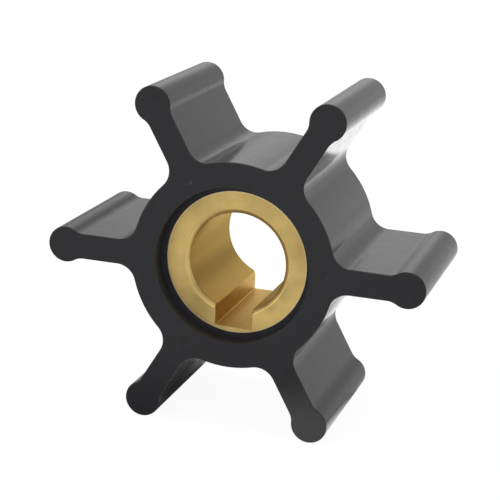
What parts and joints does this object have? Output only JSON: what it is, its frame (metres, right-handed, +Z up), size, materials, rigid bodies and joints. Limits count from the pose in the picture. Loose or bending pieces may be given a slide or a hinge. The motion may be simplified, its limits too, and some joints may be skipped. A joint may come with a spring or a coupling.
{
  "type": "pump impeller",
  "caption": "Flexible rubber pump impeller: a round hub with straight radial vanes that end in round beads, bonded onto a brass insert with a keyed bore.",
  "frame": {"origin": "middle of the bore, halfway between the two faces", "axes": "+Y along the bore from the front face to the back face, +Z up with the keyway at the bottom, +X across the two level vanes"},
  "size_m": [0.0508, 0.022, 0.0446],
  "materials": {
    "rubber": "moulded black rubber, satin",
    "brass": "turned brass, satin"
  },
  "bodies": {
    "root": {"rubber_body": "rubber", "brass_insert": "brass"}
  },
  "joints": []
}
